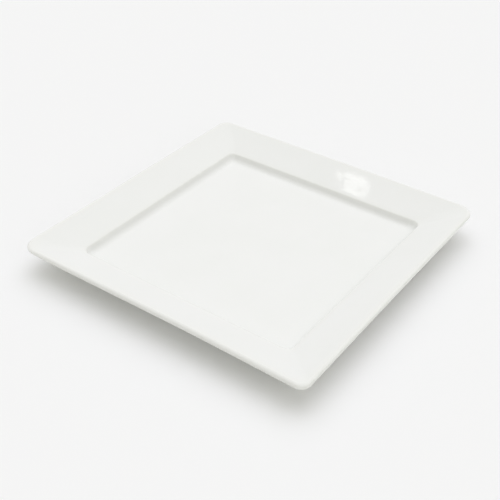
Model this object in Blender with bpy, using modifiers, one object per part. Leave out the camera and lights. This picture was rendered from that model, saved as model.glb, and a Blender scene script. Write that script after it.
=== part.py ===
"""Square porcelain plate: a pressed body on a bare foot ring, and the two coats of glaze fired onto it.

Metres, +Z up. The plate stands on z = 0, centred on the Z axis, with its sides along X and Y. One outline,
drawn from the middle of the well over the lip to the middle of the underside, gives every surface: the coats
follow it, and the body lies inside it by a coat's depth. Each corner of the outline also says how round the
plate is in plan there, so the surfaces are lofts through rounded squares of unlike corners.
"""

import math
from collections import namedtuple

import bmesh
import bpy
from mathutils import Matrix, Vector

# Rim and lip
PLATE_SIDE = 0.270
RIM_WIDTH = 0.0343
RIM_RISE = 0.0113
RIM_ROOT_THICKNESS = 0.0055
LIP_THICKNESS = 0.005
LIP_RADIUS = 0.0022
LIP_CORNER = 0.008

# Well
WELL_DEPTH = 0.0058
WELL_WALL_SLOPE = math.radians(60)
WELL_WALL_THICKNESS = 0.005
WELL_CORNER = 0.006
SHOULDER_RADIUS = 0.0025
COVE_RADIUS = 0.006
FLOOR_THICKNESS = 0.0046

# Underside and foot ring
UNDER_SHOULDER_RADIUS = 0.008
UNDER_COVE_RADIUS = 0.009
FOOT_HEIGHT = 0.0046
FOOT_INSET = 0.009
FOOT_WIDTH = 0.006
FOOT_DRAFT = math.radians(12)
FOOT_CORNER = 0.012
FOOT_ROOT_RADIUS = 0.002
FOOT_EDGE_RADIUS = 0.0014

# Glaze: its thickness, the gap that parts it from the body, and how far above the table it stops on the foot
GLAZE_THICKNESS = 0.0003
GLAZE_GAP = 0.0003
GLAZE_LINE = 0.0013

# Fineness of the facets
FILLET_STEP = math.radians(13)
CORNER_STEPS = 6
FILLET_SHARE = 0.95
SHARP_ANGLE = math.radians(40)

# Heights and half widths that follow from the sizes above
COAT = GLAZE_THICKNESS + GLAZE_GAP
PLATE_HALF = PLATE_SIDE / 2
FLOOR_TOP = FOOT_HEIGHT + FLOOR_THICKNESS
RIM_ROOT = Vector((PLATE_HALF - RIM_WIDTH, FLOOR_TOP + WELL_DEPTH))
FLOOR_EDGE = Vector((RIM_ROOT.x - WELL_DEPTH / math.tan(WELL_WALL_SLOPE), FLOOR_TOP))
LIP_TOP = Vector((PLATE_HALF, RIM_ROOT.y + RIM_RISE))
FOOT_HALF = FLOOR_EDGE.x - FOOT_INSET

Corner = namedtuple("Corner", "half height fillet plan")
Station = namedtuple("Station", "half height out_half out_height plan")


def clear_scene():
    for thing in list(bpy.data.objects):
        bpy.data.objects.remove(thing, do_unlink=True)


def outward(direction):
    """The side of a stretch of outline that faces away from the clay."""
    return Vector((-direction.y, direction.x))


def meet(point, direction, other_point, other_direction):
    """Where two lines of the profile cross."""
    side = outward(other_direction)
    return point + direction * (side.dot(other_point - point) / side.dot(direction))


def foot_outer(height):
    return FOOT_HALF + height * math.tan(FOOT_DRAFT)


def foot_inner(height):
    return FOOT_HALF - FOOT_WIDTH - height * math.tan(FOOT_DRAFT)


def upper_corners():
    """The well's floor, its wall and the rising rim, as far as the top edge of the lip."""
    return [
        Corner(0, FLOOR_TOP, 0, WELL_CORNER),
        Corner(*FLOOR_EDGE, COVE_RADIUS, WELL_CORNER),
        Corner(*RIM_ROOT, SHOULDER_RADIUS, WELL_CORNER),
        Corner(*LIP_TOP, LIP_RADIUS, LIP_CORNER),
    ]


def under_corners():
    """The lip's lower edge, the rim's underside and the back of the well's wall, as far as the foot."""
    rim = (LIP_TOP - RIM_ROOT).normalized()
    wall = (RIM_ROOT - FLOOR_EDGE).normalized()
    lip_bottom = LIP_TOP - Vector((0, LIP_THICKNESS / rim.x))
    rim_back = RIM_ROOT - outward(rim) * RIM_ROOT_THICKNESS
    wall_back = FLOOR_EDGE - outward(wall) * WELL_WALL_THICKNESS
    under_shoulder = meet(rim_back, lip_bottom - rim_back, wall_back, wall)
    under_cove = meet(wall_back, wall, Vector((0, FOOT_HEIGHT)), Vector((1, 0)))
    plan = WELL_CORNER + WELL_WALL_THICKNESS
    return [
        Corner(*lip_bottom, LIP_RADIUS, LIP_CORNER),
        Corner(*under_shoulder, UNDER_SHOULDER_RADIUS, plan),
        Corner(*under_cove, UNDER_COVE_RADIUS, plan),
        Corner(foot_outer(FOOT_HEIGHT), FOOT_HEIGHT, FOOT_ROOT_RADIUS, FOOT_CORNER),
    ]


def foot_corners():
    """The foot's base, a coat's depth below the table so that the bare clay stands on z = 0."""
    return [
        Corner(foot_outer(-COAT), -COAT, FOOT_EDGE_RADIUS, FOOT_CORNER),
        Corner(foot_inner(-COAT), -COAT, FOOT_EDGE_RADIUS, FOOT_CORNER - FOOT_WIDTH),
    ]


def recess_corners():
    """The hollow of the underside, inside the foot."""
    plan = FOOT_CORNER - FOOT_WIDTH
    return [
        Corner(foot_inner(FOOT_HEIGHT), FOOT_HEIGHT, FOOT_ROOT_RADIUS, plan),
        Corner(0, FOOT_HEIGHT, 0, plan),
    ]


def filleted(corners):
    """Stations along the outline, each with its outward direction: arcs at the corners, none on the axis."""
    points = [Vector((corner.half, corner.height)) for corner in corners]
    runs = [after - before for before, after in zip(points, points[1:])]
    turns = [0] + [-a.angle_signed(b) for a, b in zip(runs, runs[1:])] + [0]
    reach = [corner.fillet * math.tan(abs(turn) / 2) for corner, turn in zip(corners, turns)]
    stations = []
    for i, corner in enumerate(corners):
        run = runs[max(i - 1, 0)].normalized()
        if i in (0, len(corners) - 1):
            if corner.half:
                stations.append(Station(*points[i], *outward(run), corner.plan))
            continue
        fits = min(
            1,
            FILLET_SHARE * runs[i - 1].length / (reach[i - 1] + reach[i]),
            FILLET_SHARE * runs[i].length / (reach[i] + reach[i + 1]),
        )
        hand = math.copysign(corner.fillet * fits, turns[i])
        centre = points[i] - run * reach[i] * fits + outward(run) * hand
        steps = max(2, math.ceil(abs(turns[i]) / FILLET_STEP))
        for step in range(steps + 1):
            out = Matrix.Rotation(turns[i] * step / steps, 2) @ outward(run)
            stations.append(Station(*(centre - out * hand), *out, corner.plan))
    return stations


def inset(stations, depth):
    """The same stations, moved into the clay by a depth."""
    return [
        Station(s.half - s.out_half * depth, s.height - s.out_height * depth, s.out_half, s.out_height,
                s.plan - s.out_half * depth)
        for s in stations
    ]


def rounded_square(station):
    """The plate's section at a station, counter-clockwise from above."""
    middle = station.half - station.plan
    points = []
    for quarter in range(4):
        turn = Matrix.Rotation(quarter * math.pi / 2, 3, "Z")
        for step in range(CORNER_STEPS + 1):
            angle = step / CORNER_STEPS * math.pi / 2
            corner = Vector((middle + station.plan * math.cos(angle), middle + station.plan * math.sin(angle), 0))
            points.append(turn @ corner + Vector((0, 0, station.height)))
    return points


def loft(name, stations, cap_start, cap_end):
    """A surface through the sections at the stations, closed by a flat face at either end where asked."""
    bm = bmesh.new()
    rings = [[bm.verts.new(point) for point in rounded_square(station)] for station in stations]
    for ring, after in zip(rings, rings[1:]):
        for i in range(len(ring)):
            j = (i + 1) % len(ring)
            bm.faces.new((ring[i], after[i], after[j], ring[j]))
    if cap_start:
        bm.faces.new(rings[0])
    if cap_end:
        bm.faces.new(reversed(rings[-1]))
    mesh = bpy.data.meshes.new(name)
    bm.to_mesh(mesh)
    bm.free()
    mesh.shade_smooth()
    mesh.set_sharp_from_angle(angle=SHARP_ANGLE)
    return bpy.data.objects.new(name, mesh)


def coat(thing):
    """Gives an open surface the glaze's thickness, on the clay's side."""
    solid = thing.modifiers.new("glaze thickness", "SOLIDIFY")
    solid.thickness = GLAZE_THICKNESS
    solid.offset = -1
    solid.use_even_offset = True
    solid.use_quality_normals = True
    return thing


def finish(thing, colour, roughness):
    material = bpy.data.materials.new(thing.name)
    material.use_nodes = True
    shader = material.node_tree.nodes["Principled BSDF"]
    shader.inputs["Base Color"].default_value = (*colour, 1)
    shader.inputs["Roughness"].default_value = roughness
    shader.inputs["Metallic"].default_value = 0
    thing.data.materials.append(material)


def porcelain_body():
    outline = filleted(upper_corners() + under_corners() + foot_corners() + recess_corners())
    body = loft("porcelain_body", inset(outline, COAT), cap_start=True, cap_end=True)
    finish(body, (0.80, 0.78, 0.74), roughness=0.7)
    return body


def outer_glaze():
    end = Corner(foot_outer(GLAZE_LINE), GLAZE_LINE, 0, FOOT_CORNER)
    outline = filleted(upper_corners() + under_corners() + [end])
    glaze = coat(loft("outer_glaze", outline, cap_start=True, cap_end=False))
    finish(glaze, (0.86, 0.86, 0.84), roughness=0.08)
    return glaze


def foot_recess_glaze():
    start = Corner(foot_inner(GLAZE_LINE), GLAZE_LINE, 0, FOOT_CORNER - FOOT_WIDTH)
    outline = filleted([start] + recess_corners())
    glaze = coat(loft("foot_recess_glaze", outline, cap_start=False, cap_end=True))
    finish(glaze, (0.86, 0.86, 0.84), roughness=0.08)
    return glaze


def main():
    clear_scene()
    plate = bpy.data.collections.new("square_plate")
    bpy.context.scene.collection.children.link(plate)
    for piece in (porcelain_body(), outer_glaze(), foot_recess_glaze()):
        plate.objects.link(piece)


main()
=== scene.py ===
"""Looks of the square porcelain plate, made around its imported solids.

Metres, +Z up, in the solids' own frame: the plate stands on z = 0 with its sides along X and Y. The two
coats of glaze and the clay body are lofted again from the same outline as the solids, finely enough to carry
what the kiln does to a plate: a rim that isn't quite true, a well whose wall wanders, and a glaze line that
runs unevenly.
"""

import math
from collections import namedtuple

import bpy
from mathutils import Matrix, Vector, noise


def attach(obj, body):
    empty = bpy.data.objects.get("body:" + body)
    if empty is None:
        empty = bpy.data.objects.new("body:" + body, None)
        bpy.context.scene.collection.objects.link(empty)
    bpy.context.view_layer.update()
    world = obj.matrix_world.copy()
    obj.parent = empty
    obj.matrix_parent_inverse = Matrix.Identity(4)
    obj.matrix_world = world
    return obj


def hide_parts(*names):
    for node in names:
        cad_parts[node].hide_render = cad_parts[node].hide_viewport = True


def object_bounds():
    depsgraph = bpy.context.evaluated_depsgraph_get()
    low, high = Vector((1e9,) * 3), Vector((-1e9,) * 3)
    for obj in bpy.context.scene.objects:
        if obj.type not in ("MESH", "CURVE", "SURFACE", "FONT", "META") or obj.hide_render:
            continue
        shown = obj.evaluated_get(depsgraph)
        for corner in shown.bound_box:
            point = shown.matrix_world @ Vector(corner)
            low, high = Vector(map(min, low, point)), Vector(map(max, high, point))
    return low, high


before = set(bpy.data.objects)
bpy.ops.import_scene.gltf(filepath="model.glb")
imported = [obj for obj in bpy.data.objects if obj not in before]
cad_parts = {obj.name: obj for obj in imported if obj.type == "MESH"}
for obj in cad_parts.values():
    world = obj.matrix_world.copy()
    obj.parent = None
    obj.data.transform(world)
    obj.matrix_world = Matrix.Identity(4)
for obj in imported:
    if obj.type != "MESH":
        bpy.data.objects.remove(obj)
cad_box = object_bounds()

BODY = "root"

# Rim and lip
PLATE_HALF = cad_box[1].x
RIM_WIDTH = 0.0343
RIM_RISE = 0.0113
RIM_ROOT_THICKNESS = 0.0055
LIP_THICKNESS = 0.005
LIP_RADIUS = 0.0022
LIP_CORNER = 0.008

# Well
WELL_DEPTH = 0.0058
WELL_WALL_SLOPE = math.radians(60)
WELL_WALL_THICKNESS = 0.005
WELL_CORNER = 0.006
SHOULDER_RADIUS = 0.0025
COVE_RADIUS = 0.006
FLOOR_THICKNESS = 0.0046

# Underside and foot ring
UNDER_SHOULDER_RADIUS = 0.008
UNDER_COVE_RADIUS = 0.009
FOOT_HEIGHT = 0.0046
FOOT_INSET = 0.009
FOOT_WIDTH = 0.006
FOOT_DRAFT = math.radians(12)
FOOT_CORNER = 0.012
FOOT_ROOT_RADIUS = 0.002
FOOT_EDGE_RADIUS = 0.0014

# Glaze: its thickness, how close it lies to the clay here, and how far above the table it stops on the foot
GLAZE_THICKNESS = 0.0003
GLAZE_BED = 0.00002
GLAZE_LINE = 0.0013

# What the kiln does: the sides bow in, the corners sink, two corners of the lip come out thinner and rounder,
# and the foot of the well's right wall is pushed out, which makes that wall steeper. The pinch that thins the
# lip sets in as the outline turns downwards. It and the push fade by a power, away from where they belong.
SIDE_BOW = 0.0004
CORNER_SINK = 0.0008
LIP_PINCH = 0.0013
LIP_CORNER_GAIN = 0.006
RIGHT_WALL_PUSH = 0.0012
PINCH_TURN = 0.5
FADE_POWER = 4

# Slow unevenness: how far the rim strays, the wall wanders, the glaze swells and its line runs, over what
# lengths, and how far past the well's edge and the glaze line it reaches
RIM_STRAY = 0.0004
RIM_STRAY_LENGTH = 0.12
WALL_WANDER = 0.0005
WALL_WANDER_LENGTH = 0.02
WALL_REACH = 0.006
GLAZE_SWELL = 0.00002
GLAZE_SWELL_LENGTH = 0.028
LINE_RUN = 0.00035
LINE_RUN_LENGTH = 0.014
LINE_REACH = 0.0018

# The channels of that unevenness, which drift by themselves because they lie apart in the noise
RIM_SIDEWAYS, WALL_SIDEWAYS, RIM_UPWARDS, LINE_UPWARDS, GLAZE_OUTWARDS = range(1, 6)
CHANNEL_APART = 7.3

# Fineness of the meshes, and half the width of the small square that closes a piece in its middle
FILLET_STEP = math.radians(4)
HIDDEN_FILLET_STEP = math.radians(9)
RUN_STEP = 0.0035
SIDE_STEPS = 64
CORNER_STEPS = 10
EDGE_STEPS = 6
CAP_HALF = 0.002
FILLET_SHARE = 0.95
SHARP_ANGLE = math.radians(40)

# Colours of the glaze: its mottle, where it pools, where it thins, and its specks
GLAZE_SHADE = (0.876, 0.882, 0.86, 1)
GLAZE_TINT = (0.886, 0.89, 0.872, 1)
GLAZE_POOLED = (0.864, 0.873, 0.846, 1)
GLAZE_THIN = (0.883, 0.886, 0.857, 1)
GLAZE_SPECK = (0.34, 0.27, 0.2, 1)

# The attribute that says where glaze pools and where it thins, and how far that spreads along the outline
POOL = "pool"
BEND_SPREAD = 0.002

# Gloss and textures of the glaze: scales are per metre, and its waves come in two sizes. A speck's edge is a
# share of its cell, and the cells that have one are those with the brightest random colours.
GLAZE_IOR = 1.52
GLAZE_ROUGHNESS = (0.02, 0.045)
GLAZE_ROUGHNESS_SCALE = 60
GLAZE_MOTTLE_SCALE = 26
WAVE_SCALE = 130
WAVE_HEIGHT = 0.000016
PEEL_SCALE = 520
PEEL_HEIGHT = 0.000003
SPECK_SCALE = 60
SPECK_EDGE = (0.008, 0.02)
SPECK_CELLS = (0.62, 0.68)
SPECK_STRENGTH = 0.45

# Bare clay: its colours, its textures, and the patches, the height and the strength of the foot's rubbed clay
CLAY_SHADE = (0.77, 0.752, 0.715, 1)
CLAY_TINT = (0.82, 0.806, 0.772, 1)
CLAY_RUBBED = (0.5, 0.49, 0.47, 1)
CLAY_ROUGHNESS = (0.6, 0.8)
CLAY_ROUGHNESS_SCALE = 300
CLAY_MOTTLE_SCALE = 90
GRAIN_SCALE = 2200
GRAIN_HEIGHT = 0.00003
RUB_SCALE = 240
RUB_PATCHES = (0.42, 0.66)
RUB_TOP = 0.0004
RUB_STRENGTH = 0.35

# Noise: how rough it is, and the spans of its values that mottle and roughness take up
NOISE_ROUGHNESS = 0.55
MOTTLE_SPAN = (0.35, 0.65)
ROUGHNESS_SPAN = (0.3, 0.7)

# Camera, for a square picture on a sensor of the default width
CAMERA_AZIMUTH = math.radians(35.144)
CAMERA_ELEVATION = math.radians(35.702)
CAMERA_ROLL = math.radians(1.09)
CAMERA_DISTANCE = 0.7095
CAMERA_TARGET = Vector((0.01394, -0.02828, 0.0233))
CAMERA_LENS = 64.02

# Floor, and the light of a white room: a bright ceiling over the plate's back and a fill from its right
FLOOR_SIDE = 40
FLOOR_COLOUR = (0.92, 0.92, 0.92, 1)
FLOOR_ROUGHNESS = 0.9
BACKDROP = (0.92, 0.92, 0.92, 1)
ZENITH = (0.798, 0.8, 0.789, 1)
HORIZON = (0.304, 0.302, 0.224, 1)
CEILING_AZIMUTH = math.radians(206)
CEILING_ELEVATION = math.radians(71.5)
CEILING_SPREAD = math.radians(45)
CEILING_LIGHT = Vector((1.33, 1.33, 1.45))
FILL_AZIMUTH = math.radians(66)
FILL_ELEVATION = math.radians(22)
FILL_SPREAD = math.radians(33)
FILL_LIGHT = Vector((0.5, 0.5, 0.5))

# The lamp that the glaze mirrors: a wide pane and a narrow one, both sloping, each with a corner cut off
LAMP_PLACE = Vector((-0.5616, 0.5558, 1.3276))
LAMP_AIM = Vector((0.0255, 0.1136, 0.0195))
LAMP_SLOPE = 0.9
LAMP_STRENGTH = 3.6
Pane = namedtuple("Pane", "left right low high cut")
WIDE_PANE = Pane(-0.025, 0.023, -0.019, 0.02, 0.022)
NARROW_PANE = Pane(-0.039, -0.03, -0.017, 0.003, 0.003)

# Heights and half widths that follow from the sizes above
FLOOR_TOP = FOOT_HEIGHT + FLOOR_THICKNESS
RIM_ROOT = Vector((PLATE_HALF - RIM_WIDTH, FLOOR_TOP + WELL_DEPTH))
FLOOR_EDGE = Vector((RIM_ROOT.x - WELL_DEPTH / math.tan(WELL_WALL_SLOPE), FLOOR_TOP))
LIP_TOP = Vector((PLATE_HALF, RIM_ROOT.y + RIM_RISE))
FOOT_HALF = FLOOR_EDGE.x - FOOT_INSET

Corner = namedtuple("Corner", "half height fillet plan")
Station = namedtuple("Station", "place out plan bend")


def outward(direction):
    """The side of a stretch of outline that faces away from the clay."""
    return Vector((-direction.y, direction.x))


def meet(point, direction, other_point, other_direction):
    """Where two lines of the profile cross."""
    side = outward(other_direction)
    return point + direction * (side.dot(other_point - point) / side.dot(direction))


def foot_outer(height):
    return FOOT_HALF + height * math.tan(FOOT_DRAFT)


def foot_inner(height):
    return FOOT_HALF - FOOT_WIDTH - height * math.tan(FOOT_DRAFT)


def upper_corners():
    """The well's floor, its wall and the rising rim, as far as the top edge of the lip."""
    return [
        Corner(CAP_HALF, FLOOR_TOP, 0, CAP_HALF / 2),
        Corner(*FLOOR_EDGE, COVE_RADIUS, WELL_CORNER),
        Corner(*RIM_ROOT, SHOULDER_RADIUS, WELL_CORNER),
        Corner(*LIP_TOP, LIP_RADIUS, LIP_CORNER),
    ]


def under_corners():
    """The lip's lower edge, the rim's underside and the back of the well's wall, as far as the foot."""
    rim = (LIP_TOP - RIM_ROOT).normalized()
    wall = (RIM_ROOT - FLOOR_EDGE).normalized()
    lip_bottom = LIP_TOP - Vector((0, LIP_THICKNESS / rim.x))
    rim_back = RIM_ROOT - outward(rim) * RIM_ROOT_THICKNESS
    wall_back = FLOOR_EDGE - outward(wall) * WELL_WALL_THICKNESS
    under_shoulder = meet(rim_back, lip_bottom - rim_back, wall_back, wall)
    under_cove = meet(wall_back, wall, Vector((0, FOOT_HEIGHT)), Vector((1, 0)))
    plan = WELL_CORNER + WELL_WALL_THICKNESS
    return [
        Corner(*lip_bottom, LIP_RADIUS, LIP_CORNER),
        Corner(*under_shoulder, UNDER_SHOULDER_RADIUS, plan),
        Corner(*under_cove, UNDER_COVE_RADIUS, plan),
        Corner(foot_outer(FOOT_HEIGHT), FOOT_HEIGHT, FOOT_ROOT_RADIUS, FOOT_CORNER),
    ]


def foot_corners(depth):
    """The foot's base, so far below the table that clay inset by the depth stands on it."""
    return [
        Corner(foot_outer(-depth), -depth, FOOT_EDGE_RADIUS, FOOT_CORNER),
        Corner(foot_inner(-depth), -depth, FOOT_EDGE_RADIUS, FOOT_CORNER - FOOT_WIDTH),
    ]


def recess_corners():
    """The hollow of the underside, inside the foot."""
    plan = FOOT_CORNER - FOOT_WIDTH
    return [
        Corner(foot_inner(FOOT_HEIGHT), FOOT_HEIGHT, FOOT_ROOT_RADIUS, plan),
        Corner(CAP_HALF, FOOT_HEIGHT, 0, CAP_HALF / 2),
    ]


def filleted(corners, fillet_step):
    """Stations along the outline, with an arc at each corner; a bend above zero means hollow clay."""
    points = [Vector((corner.half, corner.height)) for corner in corners]
    runs = [after - before for before, after in zip(points, points[1:])]
    turns = [0] + [-a.angle_signed(b) for a, b in zip(runs, runs[1:])] + [0]
    reach = [corner.fillet * math.tan(abs(turn) / 2) for corner, turn in zip(corners, turns)]
    stations = []
    for i, corner in enumerate(corners):
        run = runs[max(i - 1, 0)].normalized()
        if i in (0, len(corners) - 1):
            stations.append(Station(points[i], outward(run), corner.plan, 0))
            continue
        fits = min(
            1,
            FILLET_SHARE * runs[i - 1].length / (reach[i - 1] + reach[i]),
            FILLET_SHARE * runs[i].length / (reach[i] + reach[i + 1]),
        )
        hand = math.copysign(corner.fillet * fits, turns[i])
        centre = points[i] - run * reach[i] * fits + outward(run) * hand
        steps = max(2, math.ceil(abs(turns[i]) / fillet_step))
        for step in range(steps + 1):
            out = Matrix.Rotation(turns[i] * step / steps, 2) @ outward(run)
            stations.append(Station(centre - out * hand, out, corner.plan, 1 / hand))
    return stations


def subdivided(stations):
    """The same stations, with more of them along the straight runs."""
    fine = [stations[0]]
    for before, after in zip(stations, stations[1:]):
        steps = math.ceil((after.place - before.place).length / RUN_STEP)
        for step in range(1, steps):
            share = step / steps
            place = before.place.lerp(after.place, share)
            plan = before.plan + (after.plan - before.plan) * share
            fine.append(Station(place, before.out.lerp(after.out, share).normalized(), plan, 0))
        fine.append(after)
    return fine


def inset(stations, depth):
    """The same stations, moved into the clay by a depth."""
    return [
        s._replace(place=s.place - s.out * depth, plan=s.plan - s.out.x * depth, bend=0)
        for s in stations
    ]


def rounded_edge(first, last, ahead):
    """The edge of a coat, round from one of its faces to the other."""
    centre = (first.place + last.place) / 2
    radius = (first.place - centre).length
    plan = (first.plan + last.plan) / 2
    stations = []
    for step in range(1, EDGE_STEPS):
        angle = step / EDGE_STEPS * math.pi
        out = (first.place - centre).normalized() * math.cos(angle) + ahead * math.sin(angle)
        stations.append(Station(centre + out * radius, out, plan, 0))
    return stations


def spread_bends(stations):
    """The bends spread along the outline, as a coat of glaze runs: -1 on the crests, 1 in the hollows."""
    along = [0]
    for before, after in zip(stations, stations[1:]):
        along.append(along[-1] + (after.place - before.place).length)
    spread = []
    for here in along:
        pulls = [math.exp(-(((here - there) / BEND_SPREAD) ** 2)) for there in along]
        spread.append(sum(p * s.bend for p, s in zip(pulls, stations)) / sum(pulls))
    most = max(abs(bend) for bend in spread)
    return [station._replace(bend=bend / most) for station, bend in zip(stations, spread)]


def smooth_step(value, low, high):
    share = min(max((value - low) / (high - low), 0), 1)
    return share * share * (3 - 2 * share)


def rounder_plan(station):
    """How round the plate is in plan at its left and right corners, which gain towards the lip."""
    return station.plan + LIP_CORNER_GAIN * smooth_step(station.place.x, RIM_ROOT.x, PLATE_HALF)


def ring(station):
    """Points of the rounded square at a station, counter-clockwise from above, and the side each faces."""
    half, height = station.place
    plans = (rounder_plan(station), station.plan)
    for quarter in range(4):
        turn = Matrix.Rotation(quarter * math.pi / 2, 3, "Z")
        plan = plans[quarter % 2]
        start = plans[1 - quarter % 2] - half
        end = half - plan
        for step in range(SIDE_STEPS):
            point = Vector((half, start + (end - start) * step / SIDE_STEPS, height))
            yield turn @ point, turn @ Vector((1, 0, 0))
        for step in range(CORNER_STEPS):
            angle = step / CORNER_STEPS * math.pi / 2
            side = Vector((math.cos(angle), math.sin(angle), 0))
            yield turn @ (Vector((end, end, height)) + side * plan), turn @ side


def drift(point, length, channel):
    """Slow unevenness between -1 and 1, over a length; each channel drifts by itself."""
    return noise.noise(point / length + Vector((0, 0, CHANNEL_APART * channel)))


def fired(point, side, station):
    """Where the kiln leaves a point of the clay: the foot stays true, the rim strays and the wall wanders."""
    half = max(abs(point.x), abs(point.y))
    rim = smooth_step(half, FLOOR_EDGE.x, PLATE_HALF)
    past_foot = smooth_step(half, FOOT_HALF, FLOOR_EDGE.x)
    wall = past_foot - smooth_step(half, RIM_ROOT.x, RIM_ROOT.x + WALL_REACH)
    wall_foot = past_foot - smooth_step(half, FLOOR_EDGE.x, RIM_ROOT.x)
    twist = point.x * point.y / half**2
    underside = smooth_step(-station.out.y, -PINCH_TURN, PINCH_TURN)
    sideways = RIM_STRAY * rim * drift(point, RIM_STRAY_LENGTH, RIM_SIDEWAYS)
    sideways -= SIDE_BOW * rim * (1 - twist**2)
    sideways += WALL_WANDER * wall * drift(point, WALL_WANDER_LENGTH, WALL_SIDEWAYS)
    sideways += RIGHT_WALL_PUSH * wall_foot * max(side.x, 0) ** FADE_POWER
    lift = RIM_STRAY * rim * drift(point, RIM_STRAY_LENGTH, RIM_UPWARDS)
    lift -= CORNER_SINK * rim * twist**2
    lift += LIP_PINCH * rim * max(twist, 0) ** FADE_POWER * underside
    return point + side * sideways + Vector((0, 0, lift))


def glazed(point, side, station):
    """Where the glaze lies: on the fired clay, swelling a little, with an uneven line at the foot."""
    out = side * station.out.x + Vector((0, 0, station.out.y))
    near_line = 1 - smooth_step(point.z, GLAZE_LINE, GLAZE_LINE + LINE_REACH)
    run = Vector((0, 0, LINE_RUN * near_line * drift(point, LINE_RUN_LENGTH, LINE_UPWARDS)))
    swell = GLAZE_SWELL * drift(point, GLAZE_SWELL_LENGTH, GLAZE_OUTWARDS)
    return fired(point, side, station) + out * swell + run


def add_mesh(name, points, faces):
    """A new object of the scene, made of points and the faces between them."""
    mesh = bpy.data.meshes.new(name)
    mesh.from_pydata(points, [], faces)
    thing = bpy.data.objects.new(name, mesh)
    bpy.context.scene.collection.objects.link(thing)
    return thing


def loft(name, stations, lay):
    """A closed piece through the rings at the stations, each point laid in its place."""
    points = [lay(point, side, station) for station in stations for point, side in ring(station)]
    count = len(points) // len(stations)
    faces = []
    for start in range(0, len(points) - count, count):
        for i in range(count):
            j = (i + 1) % count
            faces.append((start + i, start + count + i, start + count + j, start + j))
    faces.append(range(count))
    faces.append(range(len(points) - 1, len(points) - count - 1, -1))
    piece = add_mesh(name, points, faces)
    pool = piece.data.attributes.new(POOL, "FLOAT", "POINT")
    pool.data.foreach_set("value", [station.bend for station in stations for _ in range(count)])
    piece.data.shade_smooth()
    piece.data.set_sharp_from_angle(angle=SHARP_ANGLE)
    return piece


def outer_glaze():
    corners = upper_corners() + under_corners()
    corners.append(Corner(foot_outer(GLAZE_LINE), GLAZE_LINE, 0, FOOT_CORNER))
    face = spread_bends(subdivided(filleted(corners, FILLET_STEP)))
    back = inset(filleted(corners, HIDDEN_FILLET_STEP), GLAZE_THICKNESS)
    ahead = (face[-1].place - face[-2].place).normalized()
    return loft("glaze_coat", face + rounded_edge(face[-1], back[-1], ahead) + back[::-1], glazed)


def recess_glaze():
    corners = [Corner(foot_inner(GLAZE_LINE), GLAZE_LINE, 0, FOOT_CORNER - FOOT_WIDTH)] + recess_corners()
    face = spread_bends(subdivided(filleted(corners, FILLET_STEP)))
    back = inset(filleted(corners, HIDDEN_FILLET_STEP), GLAZE_THICKNESS)
    ahead = (face[0].place - face[1].place).normalized()
    return loft("glaze_coat_in_foot", back[::-1] + rounded_edge(back[0], face[0], ahead) + face, glazed)


def clay_body():
    depth = GLAZE_THICKNESS + GLAZE_BED
    corners = upper_corners() + under_corners() + foot_corners(depth) + recess_corners()
    return loft("clay_body", inset(filleted(corners, HIDDEN_FILLET_STEP), depth), fired)


def blank(owner):
    """A material or a world with an empty tree of nodes."""
    owner.use_nodes = True
    owner.node_tree.nodes.clear()
    return owner


def add_node(owner, kind, inputs=None, **settings):
    """A new node, with its own settings and the values or links that its inputs get."""
    tree = owner.node_tree
    node = tree.nodes.new(kind)
    for name, value in settings.items():
        setattr(node, name, value)
    for name, value in (inputs or {}).items():
        if isinstance(value, bpy.types.NodeSocket):
            tree.links.new(value, node.inputs[name])
        else:
            node.inputs[name].default_value = value
    return node


def finish_material(material, kind, inputs):
    """Ends a material in a shader of a kind, with its inputs."""
    shader = add_node(material, kind, inputs)
    add_node(material, "ShaderNodeOutputMaterial", {"Surface": shader.outputs[0]})
    return material


def noise_at(owner, place, scale, detail=2):
    return add_node(
        owner,
        "ShaderNodeTexNoise",
        {"Vector": place, "Scale": scale, "Detail": detail, "Roughness": NOISE_ROUGHNESS},
    ).outputs["Fac"]


def mapped(owner, value, span, new_span=(0, 1)):
    """A value taken from one span to another, and held inside it."""
    low, high = span
    new_low, new_high = new_span
    return add_node(
        owner,
        "ShaderNodeMapRange",
        {"Value": value, "From Min": low, "From Max": high, "To Min": new_low, "To Max": new_high},
    ).outputs["Result"]


def mixed(owner, share, colour, other):
    """Two colours mixed; the node's colour sockets share their names with others, so they go by place."""
    return add_node(owner, "ShaderNodeMix", {0: share, 6: colour, 7: other}, data_type="RGBA").outputs[2]


def multiplied(owner, value, other):
    return add_node(owner, "ShaderNodeMath", {0: value, 1: other}, operation="MULTIPLY").outputs[0]


def bumped(owner, heights, distance, normal=None):
    """The surface's normal stirred by heights, or another normal stirred once more."""
    inputs = {"Height": heights, "Strength": 1, "Distance": distance}
    if normal is not None:
        inputs["Normal"] = normal
    return add_node(owner, "ShaderNodeBump", inputs).outputs["Normal"]


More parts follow.
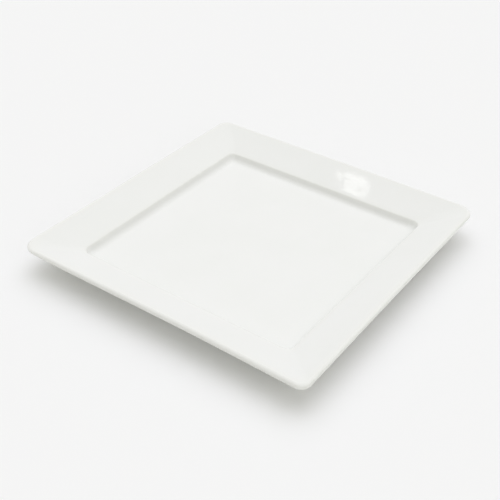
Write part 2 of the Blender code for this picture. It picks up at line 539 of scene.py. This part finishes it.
def porcelain_glaze():
    """Clear gloss over white clay: fuller in the hollows, thin on the crests, with the odd speck."""
    material = blank(bpy.data.materials.new("porcelain_glaze"))
    place = add_node(material, "ShaderNodeTexCoord").outputs["Object"]
    pool = add_node(material, "ShaderNodeAttribute", attribute_name=POOL).outputs["Fac"]
    mottle = mapped(material, noise_at(material, place, GLAZE_MOTTLE_SCALE, detail=4), MOTTLE_SPAN)
    colour = mixed(material, mottle, GLAZE_SHADE, GLAZE_TINT)
    hollow = mapped(material, pool, (0, 1))
    colour = mixed(material, hollow, colour, GLAZE_POOLED)
    crest = mapped(material, pool, (0, -1))
    colour = mixed(material, crest, colour, GLAZE_THIN)
    cells = add_node(material, "ShaderNodeTexVoronoi", {"Vector": place, "Scale": SPECK_SCALE})
    dot = mapped(material, cells.outputs["Distance"], SPECK_EDGE, (1, 0))
    chosen = mapped(material, cells.outputs["Color"], SPECK_CELLS, (0, SPECK_STRENGTH))
    colour = mixed(material, multiplied(material, dot, chosen), colour, GLAZE_SPECK)
    patches = noise_at(material, place, GLAZE_ROUGHNESS_SCALE, detail=3)
    roughness = mapped(material, patches, ROUGHNESS_SPAN, GLAZE_ROUGHNESS)
    waves = bumped(material, noise_at(material, place, WAVE_SCALE), WAVE_HEIGHT)
    peel = bumped(material, noise_at(material, place, PEEL_SCALE), PEEL_HEIGHT, waves)
    return finish_material(
        material,
        "ShaderNodeBsdfPrincipled",
        {"Base Color": colour, "Roughness": roughness, "Normal": peel, "IOR": GLAZE_IOR},
    )


def bare_porcelain():
    """Unglazed clay: matt, fine in grain, and rubbed grey where the foot meets the table."""
    material = blank(bpy.data.materials.new("bare_porcelain"))
    place = add_node(material, "ShaderNodeTexCoord").outputs["Object"]
    mottle = mapped(material, noise_at(material, place, CLAY_MOTTLE_SCALE, detail=4), MOTTLE_SPAN)
    colour = mixed(material, mottle, CLAY_SHADE, CLAY_TINT)
    height = add_node(material, "ShaderNodeSeparateXYZ", {"Vector": place}).outputs["Z"]
    low = mapped(material, height, (0, RUB_TOP), (1, 0))
    patches = mapped(material, noise_at(material, place, RUB_SCALE, detail=4), RUB_PATCHES, (0, RUB_STRENGTH))
    colour = mixed(material, multiplied(material, low, patches), colour, CLAY_RUBBED)
    uneven = noise_at(material, place, CLAY_ROUGHNESS_SCALE, detail=3)
    roughness = mapped(material, uneven, ROUGHNESS_SPAN, CLAY_ROUGHNESS)
    grain = bumped(material, noise_at(material, place, GRAIN_SCALE, detail=5), GRAIN_HEIGHT)
    return finish_material(
        material,
        "ShaderNodeBsdfPrincipled",
        {"Base Color": colour, "Roughness": roughness, "Normal": grain},
    )


def table_top():
    """The pale floor that the plate stands on."""
    half = FLOOR_SIDE / 2
    corners = [(-half, -half, 0), (half, -half, 0), (half, half, 0), (-half, half, 0)]
    floor = add_mesh("floor", corners, [range(len(corners))])
    material = finish_material(
        blank(bpy.data.materials.new("pale_floor")),
        "ShaderNodeBsdfPrincipled",
        {"Base Color": FLOOR_COLOUR, "Roughness": FLOOR_ROUGHNESS, "Specular IOR Level": 0},
    )
    floor.data.materials.append(material)


def towards(azimuth, elevation):
    """A direction from the plate: azimuth 0 is straight ahead of its front, -Y."""
    level = math.cos(elevation)
    return Vector((math.sin(azimuth) * level, -math.cos(azimuth) * level, math.sin(elevation)))


def sky():
    """Light that grows from the horizon up and towards two soft lights.

    Camera and mirrored rays see the plain backdrop instead.
    """
    world = blank(bpy.data.worlds.new("studio"))
    direction = add_node(world, "ShaderNodeTexCoord").outputs["Generated"]
    height = add_node(world, "ShaderNodeSeparateXYZ", {"Vector": direction}).outputs["Z"]
    light = mixed(world, height, HORIZON, ZENITH)
    for middle, spread, colour in (
        (towards(CEILING_AZIMUTH, CEILING_ELEVATION), CEILING_SPREAD, CEILING_LIGHT),
        (towards(FILL_AZIMUTH, FILL_ELEVATION), FILL_SPREAD, FILL_LIGHT),
    ):
        near = add_node(world, "ShaderNodeVectorMath", {0: direction, 1: middle}, operation="DOT_PRODUCT")
        share = mapped(world, near.outputs["Value"], (math.cos(spread), 1))
        soft = add_node(world, "ShaderNodeVectorMath", {0: colour, "Scale": share}, operation="SCALE")
        added = add_node(world, "ShaderNodeVectorMath", {0: light, 1: soft.outputs[0]}, operation="ADD")
        light = added.outputs[0]
    lit = add_node(world, "ShaderNodeBackground", {"Color": light})
    plain = add_node(world, "ShaderNodeBackground", {"Color": BACKDROP})
    path = add_node(world, "ShaderNodeLightPath")
    seen = path.outputs["Is Camera Ray"]
    for kind in ("Is Glossy Ray", "Is Transmission Ray"):
        either = add_node(world, "ShaderNodeMath", {0: seen, 1: path.outputs[kind]}, operation="MAXIMUM")
        seen = either.outputs[0]
    both = add_node(world, "ShaderNodeMixShader", {0: seen, 1: lit.outputs[0], 2: plain.outputs[0]})
    add_node(world, "ShaderNodeOutputWorld", {"Surface": both.outputs[0]})
    bpy.context.scene.world = world


def lamp():
    """Two panes of light over the plate's back corner, small enough to show only in the glaze."""
    corners = []
    faces = []
    for left, right, low, high, cut in (WIDE_PANE, NARROW_PANE):
        outline = [(left, low), (right - cut, low), (right, low + cut), (right, high), (left, high)]
        faces.append(range(len(corners), len(corners) + len(outline)))
        corners += [(x, y + x * LAMP_SLOPE, 0) for x, y in outline]
    panes = add_mesh("lamp", corners, faces)
    material = blank(bpy.data.materials.new("lamp_light"))
    finish_material(material, "ShaderNodeEmission", {"Strength": LAMP_STRENGTH})
    panes.data.materials.append(material)
    panes.visible_camera = False
    turn = (LAMP_AIM - LAMP_PLACE).to_track_quat("Z", "Y")
    panes.matrix_world = Matrix.LocRotScale(LAMP_PLACE, turn, None)


def camera():
    back = towards(CAMERA_AZIMUTH, CAMERA_ELEVATION)
    turn = back.to_track_quat("Z", "Y").to_matrix() @ Matrix.Rotation(CAMERA_ROLL, 3, "Z")
    lens = bpy.data.cameras.new("camera")
    lens.lens = CAMERA_LENS
    eye = bpy.data.objects.new("camera", lens)
    eye.matrix_world = Matrix.LocRotScale(CAMERA_TARGET + back * CAMERA_DISTANCE, turn, None)
    bpy.context.scene.collection.objects.link(eye)
    bpy.context.scene.camera = eye


def dress(piece, material, node):
    piece.data.materials.append(material)
    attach(piece, BODY)
    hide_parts(node)


glaze = porcelain_glaze()
dress(outer_glaze(), glaze, "outer_glaze")
dress(recess_glaze(), glaze, "foot_recess_glaze")
dress(clay_body(), bare_porcelain(), "porcelain_body")

table_top()
sky()
lamp()
camera()
bpy.context.scene.view_settings.view_transform = "Standard"
